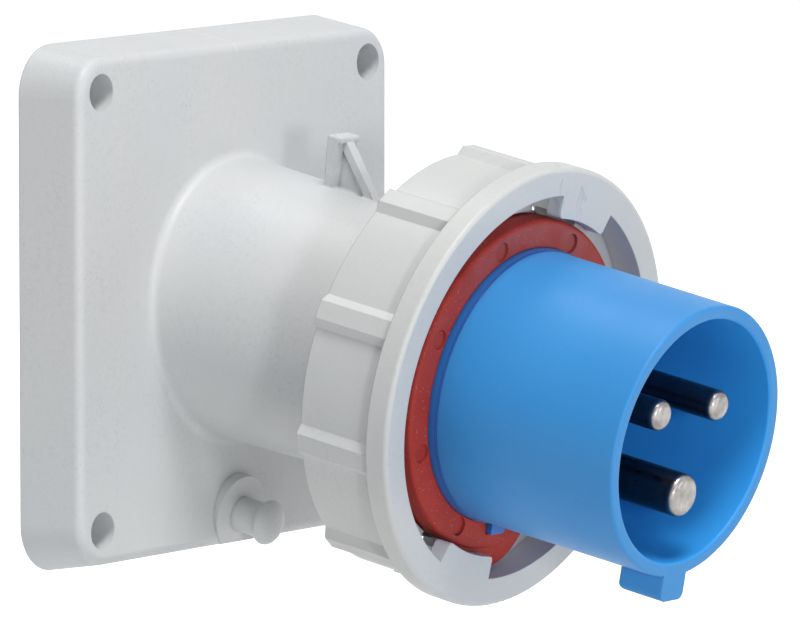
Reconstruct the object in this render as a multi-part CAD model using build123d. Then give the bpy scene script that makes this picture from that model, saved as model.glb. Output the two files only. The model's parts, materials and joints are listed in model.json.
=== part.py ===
from build123d import *
import os
from math import asin, cos, degrees, radians, sin, sqrt, tan

# Pin and sleeve inlet: square flange, tilted neck, turning locking ring, millimetres and degrees.
# +Z is up, the flange's back face is Y = 0 and the front looks towards -Y.
# The neck and all that sits on it are drawn on the tilted axis: x across, y up, z = L,
# the distance in front of the flange's front face. Clock angles run from up towards +X.

# Flange
FLANGE_W = 84.5
FLANGE_CORNER_R = 8.0
FLANGE_T = 11.0
FLANGE_DRAFT_ANGLE = 9.3
FLANGE_EDGE_R = 1.7
FLANGE_WALL = 2.8
FLANGE_PLATE = 3.0
HOLE_INSET = 7.25
HOLE_R = 3.0
SCREW_BOSS_WALL = 2.5
POCKET_HALF = 24.0
POCKET_CORNER_R = 6.0
GROOVE_W = 3.0
GROOVE_DEPTH = 2.0
GROOVE_LIP = 1.5
GROOVE_OUTER_LIP = 1.0
RIB_T = 1.8
RIB_OFFSET = 12.0
RIB_SETBACK = 2.0

# Flange gasket
GASKET_SIDE_GAP = 0.02

# Neck
NECK_TILT_ANGLE = 10.5
NECK_AXIS_Z = -0.55
NECK_BASE_R = 22.3
NECK_LOW_R = 22.1
NECK_LOW_L = 10.0
NECK_MID_R = 21.75
NECK_MID_L = 20.0
NECK_END_R = 20.8
NECK_END_L = 38.0
NECK_TIP_L = 48.4
NECK_BORE_R = 18.6
NECK_BASE_FILLET = 1.4
THRUST_COLLAR_R = 22.6
THRUST_COLLAR_T = 2.2
WEB_T = 3.0
WEB_OPENING_R = 15.0
WEB_EAR_R = 3.8
WEB_SCREW_GAP = 0.23
STOP_NUB_W = 4.0
STOP_NUB_H = 1.8
STOP_NUB_SETBACK = 0.4
EMBED = 0.6

# Tether lug on top of the neck
LUG_ACROSS = 1.9
LUG_W = 5.2
LUG_REAR_L = 13.65
LUG_REAR_SLOPE = 0.75
LUG_POST_T = 2.2
LUG_CAP_LEN = 2.7
LUG_CAP_T = 1.0
LUG_CAP_ROUND = 0.45
LUG_TOP_R = 30.5
LUG_BAR_W = 2.0
LUG_BAR_T = 1.4
LUG_BAR_DROP = 0.4
LUG_BAR_FOOT_L = 23.4
LUG_WEB_T = 1.1
LUG_ROOT_R = 0.4

# Tether stud under the neck
STUD_Z = -35.7
STUD_BOSS_R = 6.3
STUD_BOSS_H = 0.8
STUD_STEM_R = 2.85
STUD_HEAD_R = 3.7
STUD_HEAD_T = 3.4
STUD_HEAD_AT = 6.35
STUD_EMBED = 1.8

# Sleeve insert
BARREL_GAP = 0.2
BARREL_WALL = 3.0
BARREL_LEN = 11.4
O_GROOVE_DEPTH = 1.5
O_GROOVE_W = 2.4
O_GROOVE_AT = 8.0
ROOT_FLANGE_T = 4.0
ROOT_FLANGE_INSET = 0.4
FLOOR_T = 4.0
FLOOR_ABOVE_SEAT = 0.6
SLEEVE_DEPTH = 39.2
SLEEVE_BORE_R = 19.75
SLEEVE_ROOT_R = 22.15
SLEEVE_RIM_R = 22.0
SLEEVE_RIM_ROUND = 0.5
ROOT_COLLAR_R = 22.4
ROOT_COLLAR_SHOW = 1.4
ROOT_NUB_W = 3.6
ROOT_NUB_SHOW = 1.0
ROOT_NUB_ROUND = 0.5
ROOT_NUB_R = 24.4
KEY_W = 6.0
KEY_LEN = 8.2
KEY_R = 25.9
KEY_ROUND = 1.2
INSERT_BOSS_R = 3.4
INSERT_SCREW_CIRCLE_R = 12.6
INSERT_PILOT_DEPTH = 9.0
CENTRE_BOSS_R = 3.0
CENTRE_BOSS_H = 5.0
CENTRE_PILOT_DEPTH = 7.0
PILOT_GAP = 0.03

# Front seal
SEAL_R = 27.0
SEAL_T = 4.2
SEAL_EDGE_R = 0.7
SEAL_BORE_GAP = 0.05
SEAL_NOTCH_GAP = 0.1
DIMPLE_R = 1.6
DIMPLE_DEPTH = 0.45
DIMPLE_CIRCLE_R = 24.2
DIMPLE_COUNT = 8
DIMPLE_ANGLE = 23.0
LOBE_R = 10.6
LOBE_DROP = 20.0
LOBE_BLEND_R = 3.0
LOBE_TAB_GAP = 0.2
LOBE_WEB_GAP = 0.3

# O ring of the insert
O_RING_GAP = 0.02

# Locking ring
RING_RUN_GAP = 0.1
RING_END_PLAY = 0.3
RING_LIP_T = 3.2
RING_SKIRT_LEN = 4.6
RING_DEPTH = 10.7
RING_STEP_DEPTH = 5.1
RING_SEAL_GAP = 0.4
RING_TUBE_T = 1.8
RING_PLATE_T = 2.0
RING_GUTTER_W = 2.1
RING_PANEL_T = 2.6
RING_COLLAR_STEP = 2.05
RING_COLLAR_T = 4.0
RING_COLLAR_ROUND = 0.8
RIB_COUNT = 10
RIB_ANGLE = 1.0
RIB_TOP_W = 3.0
RIB_H = 1.2
RIB_SLOPE_W = 1.15
TAB_SEAL_GAP = 0.6
TAB_T = 2.8
TAB_SPAN_ANGLE = 26.5
TAB_ANGLE = 17.5
TAB_COUNT = 2
TAB_CORNER_R = 0.8
RING_TRAVEL_ANGLE = 40.0
STOP_END_ANGLE = 0.5
STOP_TOP_GAP = 0.3

# Pins
PIN_CIRCLE_R = 9.0
LINE_ANGLE = 60.0
NEUTRAL_ANGLE = 300.0
EARTH_ANGLE = 180.0
PIN_R = 2.5
PIN_LEN = 37.9
EARTH_PIN_R = 3.5
EARTH_PIN_LEN = 39.0
PIN_TIP_ROUND = 1.2
PIN_LAND_STEP = 0.3
PIN_HOLE_GAP = 0.02
SHOULDER_T = 2.5
SHOULDER_STEP = 0.6
PIN_BARREL_R = 3.9
EARTH_BARREL_R = 4.4
PIN_REAR_SETBACK = 0.5
WIRE_BORE_R = 2.1
EARTH_WIRE_BORE_R = 2.3
WIRE_BORE_DEPTH = 14.0

# Contact carrier
CARRIER_GAP = 0.2
CARRIER_T = 8.0
TOWER_R = 5.6
TOWER_LEN = 16.0
TOWER_BORE_GAP = 0.02
COUNTERBORE_GAP = 0.05
BOSS_NOTCH_GAP = 0.15
CENTRE_RECESS_GAP = 0.1
WINDOW_GAP = 0.1

# Screws and clamp plates
TERMINAL_AT = 5.0
TERMINAL_SHANK_R = 1.95
TERMINAL_HOLE_GAP = 0.05
TERMINAL_HEAD_R = 2.4
TERMINAL_HEAD_T = 1.5
TERMINAL_SEAT = 0.1
CLAMP_W = 3.2
CLAMP_T = 0.7
CLAMP_LEN = 6.0
CLAMP_GAP = 0.05
SCREW_TIP_GAP = 0.02
INSERT_SCREW_R = 1.47
INSERT_SCREW_HEAD_R = 2.8
INSERT_SCREW_HEAD_T = 2.0
CARRIER_SCREW_R = 1.7
CARRIER_SCREW_HEAD_R = 3.0
CARRIER_SCREW_HEAD_T = 2.2
CARRIER_SCREW_HOLE_GAP = 0.2
SCREW_END_GAP = 0.5
SLOT_W = 0.8
SLOT_DEPTH = 0.9

# Places along the tilted axis
SEAT_L = NECK_TIP_L + ROOT_FLANGE_T
FLOOR_L = SEAT_L + FLOOR_ABOVE_SEAT
FLOOR_BACK_L = FLOOR_L - FLOOR_T
RIM_L = FLOOR_L + SLEEVE_DEPTH
SEAL_FRONT_L = SEAT_L + SEAL_T
WEB_FRONT_L = NECK_TIP_L - BARREL_LEN
WEB_BACK_L = WEB_FRONT_L - WEB_T
LIP_FRONT_L = NECK_TIP_L - RING_END_PLAY
LIP_BACK_L = LIP_FRONT_L - RING_LIP_T
THRUST_FRONT_L = LIP_BACK_L - RING_END_PLAY
RING_REAR_L = LIP_BACK_L - RING_SKIRT_LEN
RING_FRONT_L = LIP_FRONT_L + RING_DEPTH
RING_STEP_L = LIP_FRONT_L + RING_STEP_DEPTH
TAB_BACK_L = RING_FRONT_L - TAB_T
CARRIER_BACK_L = FLOOR_BACK_L - CARRIER_T
TOWER_BACK_L = CARRIER_BACK_L - TOWER_LEN
PIN_REAR_L = TOWER_BACK_L + PIN_REAR_SETBACK
SHOULDER_BACK_L = FLOOR_BACK_L - SHOULDER_T
TERMINAL_L = TOWER_BACK_L + TERMINAL_AT

# Radii and reaches that follow from others
HOLE_REACH = FLANGE_W / 2 - HOLE_INSET
RING_BORE_R = SEAL_R + RING_SEAL_GAP
RING_OPENING_R = RING_BORE_R + RING_TUBE_T + RING_GUTTER_W
RING_PANEL_R = RING_OPENING_R + RING_PANEL_T
RING_COLLAR_R = RING_PANEL_R + RING_COLLAR_STEP
RING_LIP_R = NECK_END_R + RING_RUN_GAP
TAB_R = SEAL_R + TAB_SEAL_GAP
ROOT_FLANGE_R = SEAL_R - ROOT_FLANGE_INSET
BARREL_R = NECK_BORE_R - BARREL_GAP
BARREL_BORE_R = BARREL_R - BARREL_WALL
O_GROOVE_R = BARREL_R - O_GROOVE_DEPTH
STOP_NUB_R = NECK_END_R + STOP_NUB_H
POLES = {
    "line": (LINE_ANGLE, PIN_R, PIN_LEN, PIN_BARREL_R, WIRE_BORE_R),
    "neutral": (NEUTRAL_ANGLE, PIN_R, PIN_LEN, PIN_BARREL_R, WIRE_BORE_R),
    "earth": (EARTH_ANGLE, EARTH_PIN_R, EARTH_PIN_LEN, EARTH_BARREL_R, EARTH_WIRE_BORE_R),
}
INSERT_SCREW_ANGLES = (0.0, 120.0, 240.0)
KEY_ANGLE = 180.0

# Frames
FLANGE_FRAME = Plane(origin=(0, 0, 0), x_dir=(1, 0, 0), z_dir=(0, -1, 0)).location
AXIS_DIR = (0, -cos(radians(NECK_TILT_ANGLE)), -sin(radians(NECK_TILT_ANGLE)))
AXIS_FRAME = Plane(origin=(0, -FLANGE_T, NECK_AXIS_Z), x_dir=(1, 0, 0), z_dir=AXIS_DIR).location
STUD_FRAME = Plane(origin=(0, -FLANGE_T, STUD_Z), x_dir=(1, 0, 0), z_dir=AXIS_DIR).location
UPRIGHT = (Align.CENTER, Align.CENTER, Align.MIN)


def clock(r, angle):
    return r * sin(radians(angle)), r * cos(radians(angle))


def disc(r, back, front, at=(0.0, 0.0)):
    return Pos(at[0], at[1], back) * Cylinder(r, front - back, align=UPRIGHT)


def slab(width, height, back, front, at=(0.0, 0.0)):
    return Pos(at[0], at[1], back) * Box(width, height, front - back, align=UPRIGHT)


def turned(points):
    outline = [(r, 0, length) for length, r in points]
    return revolve(make_face(Polyline(outline, close=True)), Axis.Z)


def sector(inner, outer, back, front, middle, span):
    outline = [(inner, 0, back), (outer, 0, back), (outer, 0, front), (inner, 0, front)]
    block = revolve(make_face(Polyline(outline, close=True)), Axis.Z, revolution_arc=span)
    return Rot(0, 0, 90 - middle - span / 2) * block


def radial(r, start, end, length_at, angle, across=0.0):
    rod = Rot(-90, 0, 0) * Cylinder(r, end - start, align=UPRIGHT)
    return Rot(0, 0, -angle) * Pos(across, start, length_at) * rod


def rounded_square(half, corner, depth, taper=0.0):
    return extrude(RectangleRounded(2 * half, 2 * half, corner), depth, taper=taper)


def hole_places():
    for sx in (-1, 1):
        for sz in (-1, 1):
            yield sx * HOLE_REACH, sz * HOLE_REACH


def flange_hollow():
    depth = FLANGE_T - FLANGE_PLATE
    half = FLANGE_W / 2 - FLANGE_WALL
    groove_in = POCKET_HALF + GROOVE_LIP
    collar_out = groove_in + GROOVE_W + GROOVE_OUTER_LIP
    collar_corner = POCKET_CORNER_R + collar_out - POCKET_HALF
    hollow = rounded_square(half, FLANGE_CORNER_R - FLANGE_WALL, depth, FLANGE_DRAFT_ANGLE)
    hollow -= rounded_square(collar_out, collar_corner, depth)
    for x, z in hole_places():
        hollow -= disc(HOLE_R + SCREW_BOSS_WALL, 0, depth, (x, z))
    rib_len = half - collar_out + 2 * EMBED
    rib_mid = (half + collar_out) / 2
    for turn in range(4):
        for side in (-1, 1):
            rib = slab(rib_len, RIB_T, RIB_SETBACK, depth, (rib_mid, side * RIB_OFFSET))
            hollow -= Rot(0, 0, 90 * turn) * rib
    hollow += rounded_square(POCKET_HALF, POCKET_CORNER_R, depth)
    return hollow


def gasket_ring(gap, depth):
    inner = POCKET_HALF + GROOVE_LIP + gap
    outer = POCKET_HALF + GROOVE_LIP + GROOVE_W - gap
    ring = rounded_square(outer, POCKET_CORNER_R + outer - POCKET_HALF, depth)
    return ring - rounded_square(inner, POCKET_CORNER_R + inner - POCKET_HALF, depth)


def flange():
    body = rounded_square(FLANGE_W / 2, FLANGE_CORNER_R, FLANGE_T, FLANGE_DRAFT_ANGLE)
    front = body.faces().sort_by(Axis.Z)[-1]
    body = fillet(front.edges(), FLANGE_EDGE_R)
    body -= flange_hollow()
    body -= gasket_ring(0, GROOVE_DEPTH)
    for x, z in hole_places():
        body -= disc(HOLE_R, 0, FLANGE_T, (x, z))
    return FLANGE_FRAME * body


def neck_body(start):
    slope = (NECK_LOW_R - NECK_BASE_R) / NECK_LOW_L
    start_r = NECK_BASE_R + slope * start
    low = (NECK_LOW_R, 0, NECK_LOW_L)
    end = (NECK_END_R, 0, NECK_END_L)
    flank = Spline(low, (NECK_MID_R, 0, NECK_MID_L), end, tangents=[(slope, 0, 1), (0, 0, 1)])
    tip = Polyline(end, (NECK_END_R, 0, NECK_TIP_L), (0, 0, NECK_TIP_L), (0, 0, start), (start_r, 0, start), low)
    body = revolve(make_face(flank + tip), Axis.Z)
    collar_back = THRUST_FRONT_L - THRUST_COLLAR_T
    body += disc(THRUST_COLLAR_R, collar_back, THRUST_FRONT_L)
    nub_r = (NECK_BORE_R + STOP_NUB_R) / 2
    nub_h = STOP_NUB_R - NECK_BORE_R
    nub_front = NECK_TIP_L - STOP_NUB_SETBACK
    body += slab(STOP_NUB_W, nub_h, collar_back, nub_front, (0, -nub_r))
    return body


def neck_bore(start):
    bore = disc(NECK_BORE_R, start, WEB_BACK_L)
    bore += disc(NECK_BORE_R, WEB_FRONT_L, NECK_TIP_L)
    opening = disc(WEB_OPENING_R, WEB_BACK_L, WEB_FRONT_L)
    for angle in INSERT_SCREW_ANGLES:
        ear = clock(INSERT_SCREW_CIRCLE_R, angle)
        opening -= disc(WEB_EAR_R, WEB_BACK_L, WEB_FRONT_L, ear)
        opening += disc(INSERT_SCREW_R + WEB_SCREW_GAP, WEB_BACK_L, WEB_FRONT_L, ear)
    return bore + opening


def lug():
    foot = NECK_BORE_R + EMBED
    post_front = LUG_REAR_L + LUG_POST_T
    cap_front = LUG_REAR_L + LUG_CAP_LEN
    slope = LUG_REAR_SLOPE / (LUG_TOP_R - NECK_MID_R)
    rear_foot = LUG_REAR_L + slope * (LUG_TOP_R - foot)
    post = lug_slice(LUG_W, [
        (LUG_TOP_R, LUG_REAR_L),
        (LUG_TOP_R, cap_front),
        (LUG_TOP_R - LUG_CAP_T, cap_front),
        (LUG_TOP_R - LUG_CAP_T, post_front),
        (foot, post_front),
        (foot, rear_foot),
    ])
    post = fillet(post.faces().sort_by(Axis.Y)[-1].edges(), LUG_CAP_ROUND)
    bar_reach = LUG_TOP_R - LUG_BAR_DROP
    run = LUG_BAR_FOOT_L - cap_front
    fall = bar_reach - NECK_MID_R
    back_off = LUG_BAR_T * sqrt(run * run + fall * fall) / fall
    toe = LUG_BAR_FOOT_L + (NECK_MID_R - foot) * run / fall
    start = cap_front - LUG_CAP_ROUND
    bar_top = bar_reach + LUG_CAP_ROUND * fall / run - LUG_CAP_ROUND
    bar = lug_slice(LUG_BAR_W, [(bar_top, start), (foot, toe), (foot, toe - back_off), (bar_top, start - back_off)])
    bar -= slab(LUG_W, LUG_TOP_R, 0, post_front, (0, LUG_TOP_R / 2))
    web_top = LUG_TOP_R - LUG_CAP_T
    web_front = start + (bar_top - web_top) * run / fall
    web = lug_slice(LUG_WEB_T, [(web_top, post_front - EMBED), (web_top, web_front), (foot, toe), (foot, post_front - EMBED)])
    return Pos(LUG_ACROSS, 0, 0) * (post + bar + web)


def lug_slice(width, outline):
    face = make_face(Polyline([(0, height, length) for height, length in outline], close=True))
    return extrude(face, width / 2, dir=(1, 0, 0), both=True)


def stud():
    stem = disc(STUD_STEM_R, -STUD_EMBED, STUD_HEAD_AT)
    boss = disc(STUD_BOSS_R, -STUD_EMBED, STUD_BOSS_H)
    half = STUD_HEAD_T / 2
    steps = 12
    outline = [(0, 0, STUD_HEAD_AT - half)]
    for step in range(1, steps):
        angle = radians(-90 + 180 * step / steps)
        outline.append((STUD_HEAD_R * cos(angle), 0, STUD_HEAD_AT + half * sin(angle)))
    outline.append((0, 0, STUD_HEAD_AT + half))
    head = revolve(make_face(Spline(outline) + Line(outline[-1], outline[0])), Axis.Z)
    reach = FLANGE_T + STUD_HEAD_AT + STUD_HEAD_T
    limit = rounded_square(FLANGE_W / 2, FLANGE_CORNER_R, reach, FLANGE_DRAFT_ANGLE)
    boss = (STUD_FRAME * boss) & (FLANGE_FRAME * limit)
    return boss + STUD_FRAME * (stem + head)


def housing():
    slope = NECK_BASE_R * tan(radians(NECK_TILT_ANGLE))
    start = -FLANGE_PLATE / cos(radians(NECK_TILT_ANGLE)) - slope - EMBED
    behind = slab(4 * NECK_BASE_R, 4 * NECK_BASE_R, -FLANGE_W, FLANGE_T - FLANGE_PLATE)
    neck = AXIS_FRAME * neck_body(start) - FLANGE_FRAME * behind
    body = flange() + neck
    ring = body.edges().filter_by(lambda e: at_neck_base(e))
    body = fillet(ring, NECK_BASE_FILLET)
    top = AXIS_FRAME * lug()
    lug_root = new_edges(body, top, combined=body + top)
    body = fillet(lug_root, LUG_ROOT_R)
    body += stud()
    body -= AXIS_FRAME * neck_bore(-2 * FLANGE_T)
    return body


def at_neck_base(edge):
    box = edge.bounding_box()
    on_face = box.size.Y < EMBED / 2 and abs(edge.center().Y + FLANGE_T) < EMBED / 2
    start = edge.position_at(0)
    reach = sqrt(start.X**2 + (start.Z - NECK_AXIS_Z) ** 2)
    return on_face and abs(reach - NECK_BASE_R) < 2 * EMBED


def flange_gasket():
    return FLANGE_FRAME * gasket_ring(GASKET_SIDE_GAP, GROOVE_DEPTH)


def sleeve():
    groove_mid = WEB_FRONT_L + O_GROOVE_AT
    groove_back = groove_mid - O_GROOVE_W / 2
    groove_front = groove_mid + O_GROOVE_W / 2
    collar_front = SEAL_FRONT_L + ROOT_COLLAR_SHOW
    body = turned([
        (WEB_FRONT_L, BARREL_BORE_R),
        (WEB_FRONT_L, BARREL_R),
        (groove_back, BARREL_R),
        (groove_back, O_GROOVE_R),
        (groove_front, O_GROOVE_R),
        (groove_front, BARREL_R),
        (NECK_TIP_L, BARREL_R),
        (NECK_TIP_L, ROOT_FLANGE_R),
        (SEAT_L, ROOT_FLANGE_R),
        (SEAT_L, ROOT_COLLAR_R),
        (collar_front, ROOT_COLLAR_R),
        (collar_front, SLEEVE_ROOT_R),
        (RIM_L, SLEEVE_RIM_R),
        (RIM_L, SLEEVE_BORE_R),
        (FLOOR_L, SLEEVE_BORE_R),
        (FLOOR_L, 0),
        (FLOOR_BACK_L, 0),
        (FLOOR_BACK_L, BARREL_BORE_R),
    ])
    rim = body.faces().sort_by(Axis.Z)[-1]
    body = fillet(rim.edges(), SLEEVE_RIM_ROUND)
    body += sleeve_key()
    nub_foot = (SLEEVE_BORE_R + SLEEVE_ROOT_R) / 2
    nub_mid = -(ROOT_NUB_R + nub_foot) / 2
    nub_front = SEAL_FRONT_L + ROOT_NUB_SHOW
    nub = slab(ROOT_NUB_W, ROOT_NUB_R - nub_foot, SEAT_L, nub_front, (0, nub_mid))
    body += fillet(nub.edges().filter_by(Axis.Z).group_by(Axis.Y)[0], ROOT_NUB_ROUND)
    for angle in INSERT_SCREW_ANGLES:
        place = clock(INSERT_SCREW_CIRCLE_R, angle)
        body += disc(INSERT_BOSS_R, WEB_FRONT_L, FLOOR_BACK_L, place)
        pilot_front = WEB_FRONT_L + INSERT_PILOT_DEPTH
        body -= disc(INSERT_SCREW_R + PILOT_GAP, WEB_FRONT_L, pilot_front, place)
    centre_back = FLOOR_BACK_L - CENTRE_BOSS_H
    body += disc(CENTRE_BOSS_R, centre_back, FLOOR_BACK_L)
    body -= disc(CARRIER_SCREW_R + PILOT_GAP, centre_back, centre_back + CENTRE_PILOT_DEPTH)
    for angle, pin_r, _length, _barrel, _bore in POLES.values():
        place = clock(PIN_CIRCLE_R, angle)
        body -= disc(pin_r + PIN_LAND_STEP + PIN_HOLE_GAP, FLOOR_BACK_L, FLOOR_L, place)
    return AXIS_FRAME * body


def sleeve_key():
    foot = (SLEEVE_BORE_R + SLEEVE_RIM_R) / 2
    middle = -(KEY_R + foot) / 2
    key = slab(KEY_W, KEY_R - foot, RIM_L - KEY_LEN, RIM_L, (0, middle))
    rear = key.faces().sort_by(Axis.Z)[0].edges().sort_by(Axis.Y)[0]
    sides = key.edges().filter_by(Axis.Z).group_by(Axis.Y)[0]
    return fillet(sides + ShapeList([rear]), KEY_ROUND)


def front_seal():
    bore = ROOT_COLLAR_R + SEAL_BORE_GAP
    body = disc(SEAL_R, SEAT_L, SEAL_FRONT_L)
    body = fillet(body.faces().sort_by(Axis.Z)[-1].edges(), SEAL_EDGE_R)
    lobe_back = RING_STEP_L + LOBE_WEB_GAP
    lobe_front = TAB_BACK_L - LOBE_TAB_GAP
    flap = disc(SEAL_R, lobe_back, lobe_front) + disc(LOBE_R, lobe_back, lobe_front, (0, -LOBE_DROP))
    corners = flap.edges().filter_by(Axis.Z).sort_by(Axis.Y)[:2]
    body += fillet(corners, LOBE_BLEND_R)
    body -= disc(bore, SEAT_L, SEAL_FRONT_L)
    notch_r = ROOT_NUB_R + SEAL_NOTCH_GAP
    notch_w = ROOT_NUB_W + 2 * SEAL_NOTCH_GAP
    body -= slab(notch_w, notch_r, SEAT_L, SEAL_FRONT_L, (0, -notch_r / 2))
    for number in range(DIMPLE_COUNT):
        angle = DIMPLE_ANGLE + number * 360 / DIMPLE_COUNT
        place = clock(DIMPLE_CIRCLE_R, angle)
        body -= disc(DIMPLE_R, SEAL_FRONT_L - DIMPLE_DEPTH, SEAL_FRONT_L, place)
    return AXIS_FRAME * body


def insert_o_ring():
    minor = (NECK_BORE_R - O_GROOVE_R) / 2 - O_RING_GAP
    major = (NECK_BORE_R + O_GROOVE_R) / 2
    return AXIS_FRAME * Pos(0, 0, WEB_FRONT_L + O_GROOVE_AT) * Torus(major, minor)


def ring_tab(angle):
    tab = sector(TAB_R, RING_OPENING_R + EMBED, TAB_BACK_L, RING_FRONT_L, angle, TAB_SPAN_ANGLE)
    inner = tab.edges().filter_by(Axis.Z).group_by(lambda e: round(e.center().X**2 + e.center().Y**2))[0]
    return fillet(inner, TAB_CORNER_R)


def ring_rib(angle):
    foot_r = RING_PANEL_R - EMBED
    foot_half = RIB_TOP_W / 2 + RIB_SLOPE_W * (RIB_H + EMBED) / RIB_H
    top_r = RING_PANEL_R + RIB_H
    outline = [
        (-foot_half, foot_r, RING_REAR_L),
        (foot_half, foot_r, RING_REAR_L),
        (RIB_TOP_W / 2, top_r, RING_REAR_L),
        (-RIB_TOP_W / 2, top_r, RING_REAR_L),
    ]
    rib = extrude(make_face(Polyline(outline, close=True)), ring_step() - RING_REAR_L, dir=(0, 0, 1))
    return Rot(0, 0, -angle) * rib


def ring_step():
    return RING_FRONT_L - RING_COLLAR_T


def locking_ring():
    tube_r = RING_BORE_R + RING_TUBE_T
    plate_back = RING_STEP_L - RING_PLATE_T
    body = turned([
        (RING_REAR_L, RING_OPENING_R),
        (RING_REAR_L, RING_PANEL_R),
        (ring_step(), RING_PANEL_R),
        (ring_step(), RING_COLLAR_R),
        (RING_FRONT_L, RING_COLLAR_R),
        (RING_FRONT_L, RING_OPENING_R),
        (RING_STEP_L, RING_OPENING_R),
        (RING_STEP_L, RING_BORE_R),
        (LIP_FRONT_L, RING_BORE_R),
        (LIP_FRONT_L, RING_LIP_R),
        (LIP_BACK_L, RING_LIP_R),
        (LIP_BACK_L, tube_r),
        (plate_back, tube_r),
        (plate_back, RING_OPENING_R),
    ])
    rims = body.edges().filter_by(GeomType.CIRCLE).filter_by(lambda e: on_rim(e))
    body = fillet(rims, RING_COLLAR_ROUND)
    for number in range(RIB_COUNT):
        body += ring_rib(RIB_ANGLE + number * 360 / RIB_COUNT)
    for number in range(TAB_COUNT):
        angle = TAB_ANGLE + number * 360 / TAB_COUNT
        body += ring_tab(angle)
        body -= sector(RING_BORE_R, RING_OPENING_R, LIP_BACK_L, RING_STEP_L, angle, TAB_SPAN_ANGLE)
    nub_half = degrees(asin(STOP_NUB_W / 2 / NECK_END_R))
    span = 2 * (nub_half + STOP_END_ANGLE) + RING_TRAVEL_ANGLE
    middle = KEY_ANGLE + RING_TRAVEL_ANGLE / 2
    track_r = STOP_NUB_R + STOP_TOP_GAP
    body -= sector(NECK_END_R, track_r, LIP_BACK_L, LIP_FRONT_L, middle, span)
    return AXIS_FRAME * body


def on_rim(edge):
    front = abs(edge.center().Z - RING_FRONT_L) < EMBED / 2
    return front and edge.radius > (RING_OPENING_R + RING_COLLAR_R) / 2


def pin(angle, pin_r, length, barrel_r, bore_r):
    shoulder_r = barrel_r + SHOULDER_STEP
    body = turned([
        (PIN_REAR_L, 0),
        (PIN_REAR_L, barrel_r),
        (SHOULDER_BACK_L, barrel_r),
        (SHOULDER_BACK_L, shoulder_r),
        (FLOOR_BACK_L, shoulder_r),
        (FLOOR_BACK_L, pin_r + PIN_LAND_STEP),
        (FLOOR_L, pin_r + PIN_LAND_STEP),
        (FLOOR_L, pin_r),
        (FLOOR_L + length, pin_r),
        (FLOOR_L + length, 0),
    ])
    tip = body.faces().sort_by(Axis.Z)[-1]
    body = fillet(tip.edges(), PIN_TIP_ROUND)
    body -= disc(bore_r, PIN_REAR_L, PIN_REAR_L + WIRE_BORE_DEPTH)
    x, y = clock(PIN_CIRCLE_R, angle)
    body = Pos(x, y, 0) * body
    hole_end = PIN_CIRCLE_R + barrel_r + EMBED
    body -= radial(TERMINAL_SHANK_R + TERMINAL_HOLE_GAP, PIN_CIRCLE_R, hole_end, TERMINAL_L, angle)
    return AXIS_FRAME * body


def contact_carrier():
    body = disc(BARREL_BORE_R - CARRIER_GAP, CARRIER_BACK_L, FLOOR_BACK_L)
    for angle in INSERT_SCREW_ANGLES:
        place = clock(INSERT_SCREW_CIRCLE_R, angle)
        body -= disc(INSERT_BOSS_R + BOSS_NOTCH_GAP, CARRIER_BACK_L, FLOOR_BACK_L, place)
    recess_back = FLOOR_BACK_L - CENTRE_BOSS_H
    body -= disc(CENTRE_BOSS_R + CENTRE_RECESS_GAP, recess_back, FLOOR_BACK_L)
    body -= disc(CARRIER_SCREW_R + CARRIER_SCREW_HOLE_GAP, CARRIER_BACK_L, recess_back)
    for angle, _pin_r, _length, barrel_r, _bore in POLES.values():
        place = clock(PIN_CIRCLE_R, angle)
        body += disc(TOWER_R, TOWER_BACK_L, CARRIER_BACK_L, place)
        body -= disc(barrel_r + TOWER_BORE_GAP, TOWER_BACK_L, SHOULDER_BACK_L, place)
        counter_r = barrel_r + SHOULDER_STEP + COUNTERBORE_GAP
        body -= disc(counter_r, SHOULDER_BACK_L, FLOOR_BACK_L, place)
        window_r = TERMINAL_HEAD_R + WINDOW_GAP
        window_end = PIN_CIRCLE_R + TOWER_R + EMBED
        body -= radial(window_r, PIN_CIRCLE_R, window_end, TERMINAL_L, angle)
    return AXIS_FRAME * body


def clamp_top(bore_r):
    return sqrt(bore_r**2 - (CLAMP_W / 2) ** 2) - CLAMP_GAP


def clamp_plate(angle, bore_r):
    top = PIN_CIRCLE_R + clamp_top(bore_r)
    plate = Pos(0, top - CLAMP_T / 2, TERMINAL_L) * Box(CLAMP_W, CLAMP_T, CLAMP_LEN)
    return AXIS_FRAME * Rot(0, 0, -angle) * plate


def terminal_screw(angle, barrel_r, bore_r):
    tip = PIN_CIRCLE_R + clamp_top(bore_r) + SCREW_TIP_GAP
    seat = PIN_CIRCLE_R + barrel_r + TERMINAL_SEAT
    top = seat + TERMINAL_HEAD_T
    body = radial(TERMINAL_SHANK_R, tip, seat, TERMINAL_L, 0)
    body += radial(TERMINAL_HEAD_R, seat, top, TERMINAL_L, 0)
    slot = Box(SLOT_W, SLOT_DEPTH, 2 * TERMINAL_HEAD_R, align=(Align.CENTER, Align.MAX, Align.CENTER))
    body -= Pos(0, top, TERMINAL_L) * slot
    return AXIS_FRAME * Rot(0, 0, -angle) * body


def seated_screw(shank_r, head_r, head_t, seat, end, at):
    body = disc(shank_r, seat, end, at)
    body += disc(head_r, seat - head_t, seat, at)
    body -= slab(SLOT_W, 2 * head_r, seat - head_t, seat - head_t + SLOT_DEPTH, at)
    return AXIS_FRAME * body


def insert_screw(angle):
    end = WEB_FRONT_L + INSERT_PILOT_DEPTH - SCREW_END_GAP
    place = clock(INSERT_SCREW_CIRCLE_R, angle)
    return seated_screw(INSERT_SCREW_R, INSERT_SCREW_HEAD_R, INSERT_SCREW_HEAD_T, WEB_BACK_L, end, place)


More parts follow.
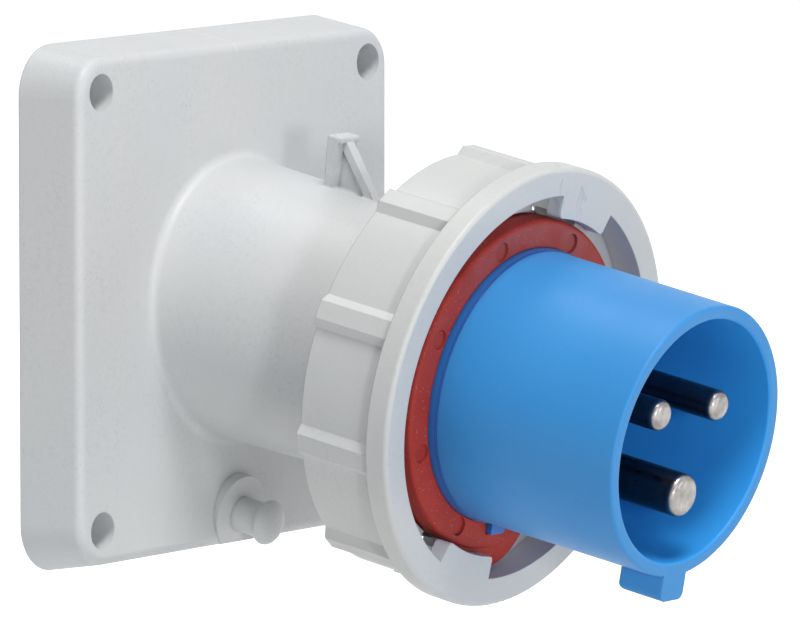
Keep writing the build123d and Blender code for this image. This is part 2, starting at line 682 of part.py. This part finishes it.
def carrier_screw():
    end = FLOOR_BACK_L - CENTRE_BOSS_H + CENTRE_PILOT_DEPTH - SCREW_END_GAP
    size = (CARRIER_SCREW_R, CARRIER_SCREW_HEAD_R, CARRIER_SCREW_HEAD_T)
    return seated_screw(*size, CARRIER_BACK_L, end, (0.0, 0.0))


def nodes():
    parts = {
        "housing": housing(),
        "flange_gasket": flange_gasket(),
        "locking_ring": locking_ring(),
        "front_seal": front_seal(),
        "sleeve": sleeve(),
        "insert_o_ring": insert_o_ring(),
        "contact_carrier": contact_carrier(),
        "carrier_screw": carrier_screw(),
    }
    for pole, (angle, pin_r, length, barrel_r, bore_r) in POLES.items():
        parts[pole + "_pin"] = pin(angle, pin_r, length, barrel_r, bore_r)
        parts[pole + "_terminal_screw"] = terminal_screw(angle, barrel_r, bore_r)
        parts[pole + "_clamp_plate"] = clamp_plate(angle, bore_r)
    for number, angle in enumerate(INSERT_SCREW_ANGLES, start=1):
        parts["insert_screw_%d" % number] = insert_screw(angle)
    return parts


os.makedirs("parts", exist_ok=True)
for name, shape in nodes().items():
    export_step(shape, "parts/%s.step" % name)
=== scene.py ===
import json
import math
import bpy
from mathutils import Matrix, Vector

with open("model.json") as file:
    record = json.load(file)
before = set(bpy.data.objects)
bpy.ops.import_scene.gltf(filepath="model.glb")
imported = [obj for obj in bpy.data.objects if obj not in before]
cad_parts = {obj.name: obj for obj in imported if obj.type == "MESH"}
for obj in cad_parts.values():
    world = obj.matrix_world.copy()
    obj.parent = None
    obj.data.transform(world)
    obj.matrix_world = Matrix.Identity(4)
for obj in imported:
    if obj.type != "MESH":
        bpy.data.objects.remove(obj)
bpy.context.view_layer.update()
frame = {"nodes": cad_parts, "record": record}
nodes = frame["nodes"]
MM = 0.001
ring_turn = frame["record"]["behaviour"]["joints"][0]
NECK_ROOT = Vector(ring_turn["pos_m"])
NECK_WAY = Vector(ring_turn["axis"])
ORIGIN = Vector((0.0, 0.0, 0.0))
ACROSS = Vector((1.0, 0.0, 0.0))
UPWARD = Vector((0.0, 0.0, 1.0))
scene = bpy.context.scene
scene.view_settings.view_transform = "Standard"

# Camera, solved from the photograph: a long lens from the front left, slightly above
BACK = Vector((-0.79488, -0.59621, 0.11268))
RIGHT = Vector((0.60003, -0.79997, 0.0))
UP = Vector((0.09014, 0.06761, 0.99363))
EYE = Vector((-1268.1, -995.0, 178.6)) * MM
SENSOR_MM = 36.0
LENS_MM = 449.9
SIGHT_END = 50.0


def add_camera():
    data = bpy.data.cameras.new("camera")
    data.sensor_width = SENSOR_MM
    data.lens = LENS_MM
    data.clip_end = SIGHT_END
    camera = bpy.data.objects.new("camera", data)
    facing = Matrix((RIGHT, UP, BACK)).transposed().to_4x4()
    camera.matrix_world = Matrix.Translation(EYE) @ facing
    scene.collection.objects.link(camera)
    scene.camera = camera


# Places on the object, in metres. Pin tips and the end of the sleeve root's painted shade are
# measured along the neck's axis from the joint's point, and a pin's painted dark reflection gives
# way to its own tone between two distances behind its tip. Radii are from that axis, and the
# heights of the seal's paler patches and of the parting line are above the flange's centre
PIN_TIP = 90.9 * MM
EARTH_TIP = 92.0 * MM
TIP_BLEND_START = 1.6 * MM
TIP_BLEND_END = 0.3 * MM
SLEEVE_BORE_R = 19.75 * MM
SLEEVE_BORE_SOFT = 0.4 * MM
# The sleeve's root band is painted shade, ending in a darker painted shadow line
ROOT_BAND_END = 58.0 * MM
ROOT_BAND_SOFT = 0.15 * MM
ROOT_EDGE_HALF = 0.10 * MM
ROOT_EDGE_SOFT = 0.15 * MM
SEAL_R = 27.0 * MM
# The seal's front face turns paler in patches towards the top, between these heights
PALE_FACE_R = SEAL_R - 1.0 * MM
PALE_FACE_END_R = SEAL_R - 0.4 * MM
PALE_START = -12.0 * MM
PALE_END = 16.0 * MM
PARTING_X = 0.0
PARTING_HALF = 0.10 * MM
PARTING_SOFT = 0.12 * MM
PARTING_Z = 39.0 * MM
PARTING_FADE = 0.5 * MM
FLOW_PLACE = Vector((5.3, -74.9, 21.7)) * MM
FLOW_REACH = 7.0 * MM
FLOW_CORE = 0.55 * FLOW_REACH

# How strongly a mark covers the tone under it, from 0 to 1
PARTING_SHARE = 0.6
FLOW_SHARE = 0.60
# Shares of the sleeve root's painted shade and of its painted shadow line
ROOT_BAND_SHARE = 0.60
ROOT_EDGE_SHARE = 0.7

# Flow lines: thin ridges round the middle value of a stretched noise
FLOW_NOISE = dict(scale=230, detail=1.5, distortion=1.2, stretch=(1.0, 1.0, 0.55))
FLOW_MIDDLE = 0.5
FLOW_HALF = 0.008
FLOW_SOFT = 0.030

# Colours, linear
HOUSING_GREY = dict(
    base=(0.710, 0.714, 0.712), cool=(0.685, 0.703, 0.728), warm=(0.700, 0.712, 0.680),
    speck=(0.42, 0.43, 0.43), rough=0.42,
)
RING_WHITE = dict(
    base=(0.690, 0.694, 0.680), cool=(0.665, 0.677, 0.685), warm=(0.696, 0.692, 0.664),
    speck=(0.46, 0.46, 0.44), rough=0.40,
)
SEAL_RED = dict(
    base=(0.50, 0.050, 0.036), dark=(0.44, 0.038, 0.028), speck=(0.62, 0.24, 0.21),
    pale_top=(0.46, 0.19, 0.18),
)
GASKET_BLACK = dict(
    base=(0.022, 0.022, 0.023), dark=(0.030, 0.030, 0.031), speck=(0.06, 0.06, 0.06),
)
PARTING_PALE = (0.86, 0.86, 0.84)
FLOW_GREY = (0.48, 0.49, 0.51)
SLEEVE_BLUE = (0.046, 0.316, 0.742)
SLEEVE_CLOUD = (0.041, 0.300, 0.720)
# Painted light: the bore's brighter blue stands in for light that shines through the wall and
# bounces inside
SLEEVE_BORE_LIGHT = (0.045, 0.415, 0.985)
SLEEVE_SPECK = (0.16, 0.42, 0.85)
# Painted shade at the sleeve's root, and its painted shadow line
SLEEVE_ROOT_SHADE = (0.006, 0.110, 0.500)
SLEEVE_ROOT_SHADOW_LINE = (0.006, 0.050, 0.260)
# Painted shade for the sleeve's crevices
SLEEVE_CREVICE_SHADE = (0.012, 0.090, 0.330)
CARRIER_BLACK = (0.030, 0.030, 0.032)
CARRIER_CLOUD = (0.042, 0.042, 0.045)
# Pin body tones are painted reflection, dark for the dark sleeve interior; the tip tones are the
# metal's own
NICKEL_DARK_REFLECTION = (0.125, 0.115, 0.110)
NICKEL_DARKER_REFLECTION = (0.09, 0.083, 0.080)
NICKEL_BRIGHT = (0.42, 0.40, 0.385)
NICKEL_DULL = (0.26, 0.245, 0.235)
ZINC_LIGHT = (0.62, 0.61, 0.58)
ZINC_DARK = (0.48, 0.47, 0.44)

# Grains: a noise, whose values from low to high become start to end, or 0 to 1 where none is given
PLASTIC_CLOUDS = dict(scale=22, detail=2.5, rough=0.55, low=0.38, high=0.64)
PLASTIC_PATCHES = dict(scale=13, detail=1.5, distortion=0.4, low=0.52, high=0.72, end=0.6)
PLASTIC_DOTS = dict(scale=2600, detail=1.0, rough=0.4, low=0.64, high=0.80, end=0.30)
PLASTIC_MOTTLE = dict(scale=1300, detail=2.0, rough=0.6, low=0.48, high=0.72, end=0.16)
PLASTIC_WHERE = dict(scale=60, detail=2.0, low=0.40, high=0.64, start=0.25)
PLASTIC_SHEEN = dict(scale=90, low=0.3, high=0.7)
PLASTIC_SHEEN_LESS = 0.05
PLASTIC_SHEEN_MORE = 0.06
RUBBER_CLOUDS = dict(scale=140, rough=0.6, low=0.35, high=0.65)
RUBBER_DOTS = dict(scale=2400, detail=1.0, rough=0.4, low=0.66, high=0.78, end=0.7)
RUBBER_HAZE = dict(scale=110, rough=0.6, low=0.35, high=0.65, start=0.15, end=0.50)
SLEEVE_CLOUDS = dict(scale=35, detail=2.0, low=0.35, high=0.65)
SLEEVE_DOTS = dict(scale=2200, detail=1.0, rough=0.4, low=0.70, high=0.82, end=0.30)
SLEEVE_SHEEN = dict(scale=120, low=0.3, high=0.7, start=0.41, end=0.48)
CARRIER_CLOUDS = dict(scale=60, detail=2.0, low=0.35, high=0.65)
NICKEL_REFLECTION_MOTTLE = dict(scale=180, rough=0.6, low=0.35, high=0.7)
NICKEL_WEAR = dict(scale=420, rough=0.6, low=0.35, high=0.65)
NICKEL_SHEEN = dict(scale=500, low=0.3, high=0.7, start=0.26, end=0.36)
ZINC_CLOUDS = dict(scale=700, rough=0.6, low=0.35, high=0.7)
ZINC_SHEEN = dict(scale=1200, detail=2.0, low=0.3, high=0.7, start=0.24, end=0.42)

# Reliefs: a noise that stands up as bumps of this height
PLASTIC_RELIEF = dict(scale=2600, strength=0.08, height=0.04 * MM)
PLASTIC_WAVES = dict(scale=45, detail=1.5, strength=0.06, height=0.5 * MM)
RUBBER_RELIEF = dict(scale=3200, rough=0.6, strength=0.25, height=0.05 * MM)
SLEEVE_RELIEF = dict(scale=2200, strength=0.06, height=0.04 * MM)
CARRIER_RELIEF = dict(scale=2400, strength=0.18, height=0.05 * MM)
NICKEL_RELIEF = dict(scale=900, stretch=(6.0, 1.0, 6.0), strength=0.05, height=0.03 * MM)
ZINC_RELIEF = dict(scale=2500, strength=0.1, height=0.03 * MM)

# Edges look rounded by these radii, and painted shade darkens crevices within these reaches
PLASTIC_EDGE = 0.25 * MM
RUBBER_EDGE = 0.2 * MM
CARRIER_EDGE = 0.2 * MM
ZINC_EDGE = 0.1 * MM
PLASTIC_CREVICE_SHADE = dict(shade=0.62, reach=1.2 * MM)
RUBBER_CREVICE_SHADE = dict(shade=0.55, reach=0.8 * MM)
SLEEVE_CREVICE_REACH = 1.0 * MM
CREVICE_DARK = 0.25
CREVICE_CLEAR = 0.80
RAY_SAMPLES = 6


def darker(tone, shade):
    return tuple(shade * value for value in tone)


class Shader:
    def __init__(self, name, rough, specular=0.5, metallic=0.0):
        self.material = bpy.data.materials.new(name)
        self.material.use_nodes = True
        self.tree = self.material.node_tree
        self.shader = self.tree.nodes["Principled BSDF"]
        self.shader.inputs["Roughness"].default_value = rough
        self.shader.inputs["Metallic"].default_value = metallic
        self.shader.inputs["Specular IOR Level"].default_value = specular
        self.place = self.node("ShaderNodeTexCoord").outputs["Object"]
        self.normal = None

    def node(self, kind, **values):
        made = self.tree.nodes.new(kind)
        for key, value in values.items():
            setattr(made, key, value)
        return made

    def link(self, source, target):
        self.tree.links.new(source, target)

    def noise(self, scale, detail=3.0, rough=0.5, distortion=0.0, stretch=None):
        made = self.node("ShaderNodeTexNoise")
        made.inputs["Scale"].default_value = scale
        made.inputs["Detail"].default_value = detail
        made.inputs["Roughness"].default_value = rough
        made.inputs["Distortion"].default_value = distortion
        source = self.place
        if stretch:
            mapping = self.node("ShaderNodeMapping")
            mapping.inputs["Scale"].default_value = stretch
            self.link(source, mapping.inputs["Vector"])
            source = mapping.outputs["Vector"]
        self.link(source, made.inputs["Vector"])
        return made.outputs["Fac"]

    def ramp(self, factor, low, high, start=0.0, end=1.0):
        made = self.node("ShaderNodeMapRange")
        made.inputs["From Min"].default_value = low
        made.inputs["From Max"].default_value = high
        made.inputs["To Min"].default_value = start
        made.inputs["To Max"].default_value = end
        self.link(factor, made.inputs["Value"])
        return made.outputs["Result"]

    def fall(self, factor, low, high, start=1.0):
        return self.ramp(factor, low, high, start, 0.0)

    def grain(self, low, high, start=0.0, end=1.0, **noise):
        return self.ramp(self.noise(**noise), low, high, start, end)

    def times(self, one, other):
        made = self.node("ShaderNodeMath", operation="MULTIPLY")
        for socket, value in zip(made.inputs, (one, other)):
            if isinstance(value, float):
                socket.default_value = value
            else:
                self.link(value, socket)
        return made.outputs["Value"]

    def plus(self, value, amount):
        made = self.node("ShaderNodeMath", operation="ADD")
        self.link(value, made.inputs[0])
        made.inputs[1].default_value = amount
        return made.outputs["Value"]

    def mix(self, factor, one, other):
        made = self.node("ShaderNodeMix", data_type="RGBA")
        self.link(factor, made.inputs["Factor"])
        for name, value in (("A", one), ("B", other)):
            socket = [s for s in made.inputs if s.name == name and s.type == "RGBA"][0]
            if isinstance(value, tuple):
                socket.default_value = (*value, 1.0)
            else:
                self.link(value, socket)
        return [s for s in made.outputs if s.type == "RGBA"][0]

    def from_place(self, operation, vector):
        made = self.node("ShaderNodeVectorMath", operation=operation)
        self.link(self.place, made.inputs[0])
        made.inputs[1].default_value = vector
        return made

    def along(self, way, start=ORIGIN):
        dot = self.from_place("DOT_PRODUCT", way)
        return self.plus(dot.outputs["Value"], -start.dot(way))

    def away(self, centre):
        return self.from_place("DISTANCE", centre).outputs["Value"]

    def beside(self, way, start):
        offset = self.from_place("SUBTRACT", start)
        crossed = self.node("ShaderNodeVectorMath", operation="CROSS_PRODUCT")
        self.link(offset.outputs["Vector"], crossed.inputs[0])
        crossed.inputs[1].default_value = way
        length = self.node("ShaderNodeVectorMath", operation="LENGTH")
        self.link(crossed.outputs["Vector"], length.inputs[0])
        return length.outputs["Value"]

    def near(self, value, middle, half, soft):
        made = self.node("ShaderNodeMath", operation="ABSOLUTE")
        self.link(self.plus(value, -middle), made.inputs[0])
        return self.fall(made.outputs["Value"], half, half + soft)

    # Painted shade: the tone turns to the dark colour where ambient occlusion finds corners and
    # crevices
    def painted_crevice_shade(self, tone, dark, reach):
        made = self.node("ShaderNodeAmbientOcclusion", samples=RAY_SAMPLES)
        made.inputs["Distance"].default_value = reach
        open_share = self.ramp(made.outputs["AO"], CREVICE_DARK, CREVICE_CLEAR)
        return self.mix(open_share, dark, tone)

    def colour(self, source):
        self.link(source, self.shader.inputs["Base Color"])

    def rough(self, source):
        self.link(source, self.shader.inputs["Roughness"])

    def round_edges(self, radius):
        made = self.node("ShaderNodeBevel", samples=RAY_SAMPLES)
        made.inputs["Radius"].default_value = radius
        self.normal = made.outputs["Normal"]

    def relief(self, strength, height, detail=2.0, **noise):
        made = self.node("ShaderNodeBump")
        made.inputs["Strength"].default_value = strength
        made.inputs["Distance"].default_value = height
        self.link(self.noise(detail=detail, **noise), made.inputs["Height"])
        if self.normal:
            self.link(self.normal, made.inputs["Normal"])
        self.normal = made.outputs["Normal"]

    def done(self):
        if self.normal:
            self.link(self.normal, self.shader.inputs["Normal"])
        return self.material


# Marks on a surface, and the painted shade at the sleeve's root
def parting_line(s, tone):
    line = s.near(s.along(ACROSS), PARTING_X, PARTING_HALF, PARTING_SOFT)
    top = s.ramp(s.along(UPWARD), PARTING_Z, PARTING_Z + PARTING_FADE)
    return s.mix(s.times(s.times(line, top), PARTING_SHARE), tone, PARTING_PALE)


def flow_lines(s, tone):
    ridge = s.near(s.noise(**FLOW_NOISE), FLOW_MIDDLE, FLOW_HALF, FLOW_SOFT)
    spot = s.fall(s.away(FLOW_PLACE), FLOW_CORE, FLOW_REACH)
    return s.mix(s.times(s.times(ridge, spot), FLOW_SHARE), tone, FLOW_GREY)


# Paler patches on the seal's front face, more of them higher up
def paler_upper_face(s, tone, pale_top):
    high = s.ramp(s.along(UPWARD), PALE_START, PALE_END)
    haze = s.grain(**RUBBER_HAZE)
    face = s.fall(s.beside(NECK_WAY, NECK_ROOT), PALE_FACE_R, PALE_FACE_END_R)
    return s.mix(s.times(s.times(high, haze), face), tone, pale_top)


# Painted shade: the sleeve is darker blue up to the root band's end, with a darker painted shadow
# line there
def painted_root_shade(s, tone):
    forward = s.along(NECK_WAY, NECK_ROOT)
    band = s.fall(forward, ROOT_BAND_END, ROOT_BAND_END + ROOT_BAND_SOFT, ROOT_BAND_SHARE)
    tone = s.mix(band, tone, SLEEVE_ROOT_SHADE)
    edge = s.near(forward, ROOT_BAND_END, ROOT_EDGE_HALF, ROOT_EDGE_SOFT)
    return s.mix(s.times(edge, ROOT_EDGE_SHARE), tone, SLEEVE_ROOT_SHADOW_LINE)


# Materials
def pale_plastic(name, base, cool, warm, speck, rough, mark):
    s = Shader(name, rough=rough, specular=0.45)
    tone = s.mix(s.grain(**PLASTIC_CLOUDS), base, cool)
    tone = s.mix(s.grain(**PLASTIC_PATCHES), tone, warm)
    where = s.grain(**PLASTIC_WHERE)
    for spots in (PLASTIC_DOTS, PLASTIC_MOTTLE):
        tone = s.mix(s.times(s.grain(**spots), where), tone, speck)
    tone = mark(s, tone)
    tone = s.painted_crevice_shade(tone, darker(base, PLASTIC_CREVICE_SHADE["shade"]), PLASTIC_CREVICE_SHADE["reach"])
    s.colour(tone)
    smoothest = rough - PLASTIC_SHEEN_LESS
    roughest = rough + PLASTIC_SHEEN_MORE
    s.rough(s.grain(start=smoothest, end=roughest, **PLASTIC_SHEEN))
    s.round_edges(PLASTIC_EDGE)
    s.relief(**PLASTIC_RELIEF)
    s.relief(**PLASTIC_WAVES)
    return s.done()


def rubber(name, base, dark, speck, pale_top=None):
    s = Shader(name, rough=0.62, specular=0.28)
    tone = s.mix(s.grain(**RUBBER_CLOUDS), base, dark)
    tone = s.mix(s.grain(**RUBBER_DOTS), tone, speck)
    if pale_top:
        tone = paler_upper_face(s, tone, pale_top)
    tone = s.painted_crevice_shade(tone, darker(dark, RUBBER_CREVICE_SHADE["shade"]), RUBBER_CREVICE_SHADE["reach"])
    s.colour(tone)
    s.round_edges(RUBBER_EDGE)
    s.relief(**RUBBER_RELIEF)
    return s.done()


def blue_plastic():
    s = Shader("sleeve_blue", rough=0.44, specular=0.40)
    tone = s.mix(s.grain(**SLEEVE_CLOUDS), SLEEVE_BLUE, SLEEVE_CLOUD)
    # Painted light: within the bore's radius the tone turns to a brighter blue
    bore_end = SLEEVE_BORE_R + SLEEVE_BORE_SOFT
    painted_bore_light = s.fall(s.beside(NECK_WAY, NECK_ROOT), SLEEVE_BORE_R, bore_end)
    tone = s.mix(painted_bore_light, tone, SLEEVE_BORE_LIGHT)
    tone = s.mix(s.grain(**SLEEVE_DOTS), tone, SLEEVE_SPECK)
    tone = painted_root_shade(s, tone)
    tone = s.painted_crevice_shade(tone, SLEEVE_CREVICE_SHADE, SLEEVE_CREVICE_REACH)
    s.colour(tone)
    s.rough(s.grain(**SLEEVE_SHEEN))
    s.round_edges(PLASTIC_EDGE)
    s.relief(**SLEEVE_RELIEF)
    return s.done()


def black_plastic():
    s = Shader("carrier_black", rough=0.5, specular=0.45)
    s.colour(s.mix(s.grain(**CARRIER_CLOUDS), CARRIER_BLACK, CARRIER_CLOUD))
    s.round_edges(CARRIER_EDGE)
    s.relief(**CARRIER_RELIEF)
    return s.done()


# Painted reflection: the pin's body is coloured dark for the dark interior it mirrors, blending
# into the metal's own tone at the tip
def nickel(name, tip):
    s = Shader(name, rough=0.16, metallic=1.0)
    dark = s.mix(s.grain(**NICKEL_REFLECTION_MOTTLE), NICKEL_DARK_REFLECTION, NICKEL_DARKER_REFLECTION)
    bright = s.mix(s.grain(**NICKEL_WEAR), NICKEL_BRIGHT, NICKEL_DULL)
    tip_share = s.ramp(s.along(NECK_WAY, NECK_ROOT), tip - TIP_BLEND_START, tip - TIP_BLEND_END)
    s.colour(s.mix(tip_share, dark, bright))
    s.rough(s.grain(**NICKEL_SHEEN))
    s.relief(**NICKEL_RELIEF)
    return s.done()


def zinc():
    s = Shader("screw_zinc", rough=0.3, metallic=1.0)
    s.colour(s.mix(s.grain(**ZINC_CLOUDS), ZINC_LIGHT, ZINC_DARK))
    s.rough(s.grain(**ZINC_SHEEN))
    s.round_edges(ZINC_EDGE)
    s.relief(**ZINC_RELIEF)
    return s.done()


# Every node keeps its mesh and gets its material. The screws and clamp plates are zinc
def dress():
    black_rubber = rubber("gasket_black", **GASKET_BLACK)
    pin = nickel("pin_nickel", PIN_TIP)
    screw = zinc()
    chosen = {
        "housing": pale_plastic("housing_grey", mark=parting_line, **HOUSING_GREY),
        "locking_ring": pale_plastic("ring_white", mark=flow_lines, **RING_WHITE),
        "front_seal": rubber("seal_red", **SEAL_RED),
        "sleeve": blue_plastic(),
        "flange_gasket": black_rubber,
        "insert_o_ring": black_rubber,
        "contact_carrier": black_plastic(),
        "line_pin": pin,
        "neutral_pin": pin,
        "earth_pin": nickel("earth_pin_nickel", EARTH_TIP),
    }
    for name, node in nodes.items():
        node.data.materials.clear()
        node.data.materials.append(chosen.get(name, screw))


# Studio. A lamp is a disk, given by its azimuth and elevation in degrees as seen from its aim,
# its size in metres, its power in watts and its tint
WHITE = (1.0, 1.0, 1.0)
LAMP_AIM = Vector((0.0, -45.0, 0.0)) * MM
LAMP_DISTANCE = 1.3
LAMPS = (
    ("key", -40.0, 65.0, 0.50, 9.0, (1.0, 1.0, 0.985)),
    ("top", -12.0, 68.0, 0.50, 2.1, WHITE),
    ("front", -35.0, 4.0, 0.16, 3.0, (0.98, 0.99, 1.0)),
    ("left", -22.0, 20.0, 0.50, 1.2, (0.97, 0.985, 1.0)),
    ("right", 15.0, 8.0, 0.50, 1.7, (0.94, 0.97, 1.0)),
    ("back", 166.0, 67.0, 0.60, 2.5, (0.98, 0.99, 1.0)),
)
SKY_TONE = (0.86, 0.92, 1.0)
SKY_STRENGTH = 0.12
BACKGROUND_STRENGTH = 1.0
FLOOR_HALF = 3.0
FLOOR_Z = -110.0 * MM
FLOOR_TONE = (0.86, 0.86, 0.86)
FLOOR_GLOW = 0.55
SHADOW_REACH = 400 * MM


def add_lamp(name, azimuth, elevation, size, power, tint):
    data = bpy.data.lights.new(name, "AREA")
    data.shape = "DISK"
    data.size = size
    data.energy = power
    data.color = tint
    lamp = bpy.data.objects.new(name, data)
    side = math.radians(azimuth)
    rise = math.radians(elevation)
    level = math.cos(rise)
    outward = Vector((math.sin(side) * level, -math.cos(side) * level, math.sin(rise)))
    lamp.location = LAMP_AIM + outward * LAMP_DISTANCE
    lamp.rotation_euler = outward.to_track_quat("Z", "Y").to_euler()
    scene.collection.objects.link(lamp)


def add_node(tree, kind, **inputs):
    made = tree.nodes.new(kind)
    for name, value in inputs.items():
        made.inputs[name].default_value = value
    return made


def seen_rays(tree):
    path = add_node(tree, "ShaderNodeLightPath")
    seen = path.outputs["Is Camera Ray"]
    for kind in ("Is Glossy Ray", "Is Transmission Ray"):
        either = add_node(tree, "ShaderNodeMath")
        either.operation = "MAXIMUM"
        tree.links.new(seen, either.inputs[0])
        tree.links.new(path.outputs[kind], either.inputs[1])
        seen = either.outputs["Value"]
    return seen


# The world is white where it is seen, in gloss too, and lights the object only softly
def add_world():
    world = bpy.data.worlds.new("studio")
    scene.world = world
    world.use_nodes = True
    tree = world.node_tree
    tree.nodes.clear()
    out = add_node(tree, "ShaderNodeOutputWorld")
    seen = add_node(tree, "ShaderNodeBackground", Color=(*WHITE, 1.0), Strength=BACKGROUND_STRENGTH)
    light = add_node(tree, "ShaderNodeBackground", Color=(*SKY_TONE, 1.0), Strength=SKY_STRENGTH)
    mix = add_node(tree, "ShaderNodeMixShader")
    tree.links.new(seen_rays(tree), mix.inputs["Fac"])
    tree.links.new(light.outputs["Background"], mix.inputs[1])
    tree.links.new(seen.outputs["Background"], mix.inputs[2])
    tree.links.new(mix.outputs["Shader"], out.inputs["Surface"])


# The floor glows less near the object, so that the shadow shows there, and is white further out
def floor_material():
    material = bpy.data.materials.new("floor_white")
    material.use_nodes = True
    tree = material.node_tree
    tree.nodes.clear()
    out = add_node(tree, "ShaderNodeOutputMaterial")
    matt = add_node(tree, "ShaderNodeBsdfDiffuse", Color=(*FLOOR_TONE, 1.0))
    glow = add_node(tree, "ShaderNodeEmission")
    place = add_node(tree, "ShaderNodeTexCoord")
    distance = add_node(tree, "ShaderNodeVectorMath")
    distance.operation = "LENGTH"
    tree.links.new(place.outputs["Object"], distance.inputs[0])
    fade = add_node(tree, "ShaderNodeMapRange")
    fade.interpolation_type = "SMOOTHSTEP"
    fade.inputs["From Min"].default_value = SHADOW_REACH / 2
    fade.inputs["From Max"].default_value = SHADOW_REACH
    fade.inputs["To Min"].default_value = FLOOR_GLOW
    tree.links.new(distance.outputs["Value"], fade.inputs["Value"])
    lift = add_node(tree, "ShaderNodeMath")
    lift.operation = "MULTIPLY"
    tree.links.new(seen_rays(tree), lift.inputs[0])
    tree.links.new(fade.outputs["Result"], lift.inputs[1])
    tree.links.new(lift.outputs["Value"], glow.inputs["Strength"])
    both = add_node(tree, "ShaderNodeAddShader")
    tree.links.new(matt.outputs["BSDF"], both.inputs[0])
    tree.links.new(glow.outputs["Emission"], both.inputs[1])
    tree.links.new(both.outputs["Shader"], out.inputs["Surface"])
    return material


def add_floor():
    mesh = bpy.data.meshes.new("floor")
    signs = ((-1, -1), (1, -1), (1, 1), (-1, 1))
    corners = [(x * FLOOR_HALF, y * FLOOR_HALF, FLOOR_Z) for x, y in signs]
    mesh.from_pydata(corners, [], [(0, 1, 2, 3)])
    mesh.materials.append(floor_material())
    floor = bpy.data.objects.new("floor", mesh)
    scene.collection.objects.link(floor)


add_camera()
dress()
add_world()
add_floor()
for lamp in LAMPS:
    add_lamp(*lamp)
